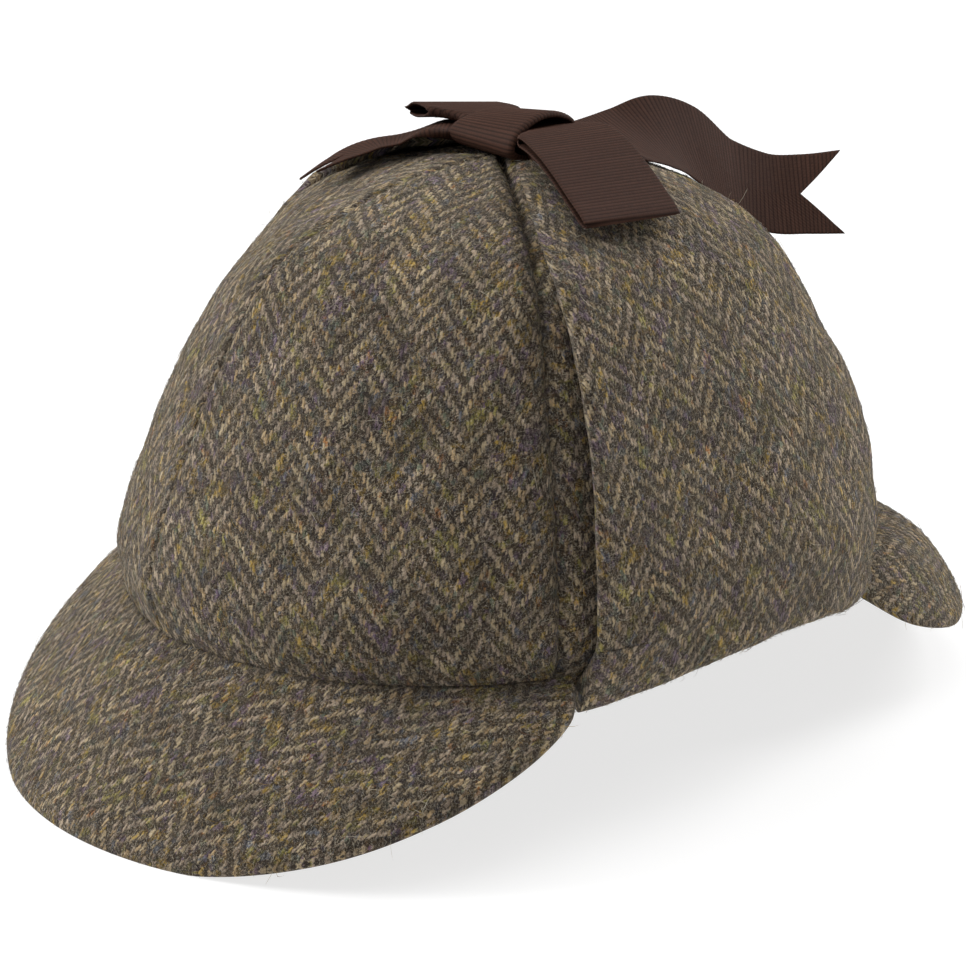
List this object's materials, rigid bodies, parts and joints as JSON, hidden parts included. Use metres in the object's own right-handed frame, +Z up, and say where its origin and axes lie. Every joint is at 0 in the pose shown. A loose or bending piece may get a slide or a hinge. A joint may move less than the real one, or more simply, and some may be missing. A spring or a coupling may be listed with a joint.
{
  "type": "deerstalker hat",
  "caption": "Tweed deerstalker hat with a rounded panelled crown, a peak at front and back, and ear flaps turned up and tied on top with a ribbon bow.",
  "frame": {"origin": "on the surface that the hat rests on, under the middle of its length and width", "axes": "+Z up, +X towards the wearer's left, +Y from the front peak to the back peak"},
  "size_m": [0.1826, 0.2669, 0.1577],
  "materials": {
    "tweed": "herringbone wool tweed in brown and cream, hairy, with coloured flecks",
    "grosgrain": "dark brown ribbed ribbon with a slight sheen"
  },
  "bodies": {
    "root": {"crown": "tweed", "front_peak": "tweed", "back_peak": "tweed", "ear_flap_left": "tweed", "ear_flap_right": "tweed", "tie_left": "grosgrain", "tie_right": "grosgrain", "bow_knot": "grosgrain", "bow_loop_left": "grosgrain", "bow_loop_right": "grosgrain", "bow_tail_front": "grosgrain", "bow_tail_back": "grosgrain"}
  },
  "joints": []
}
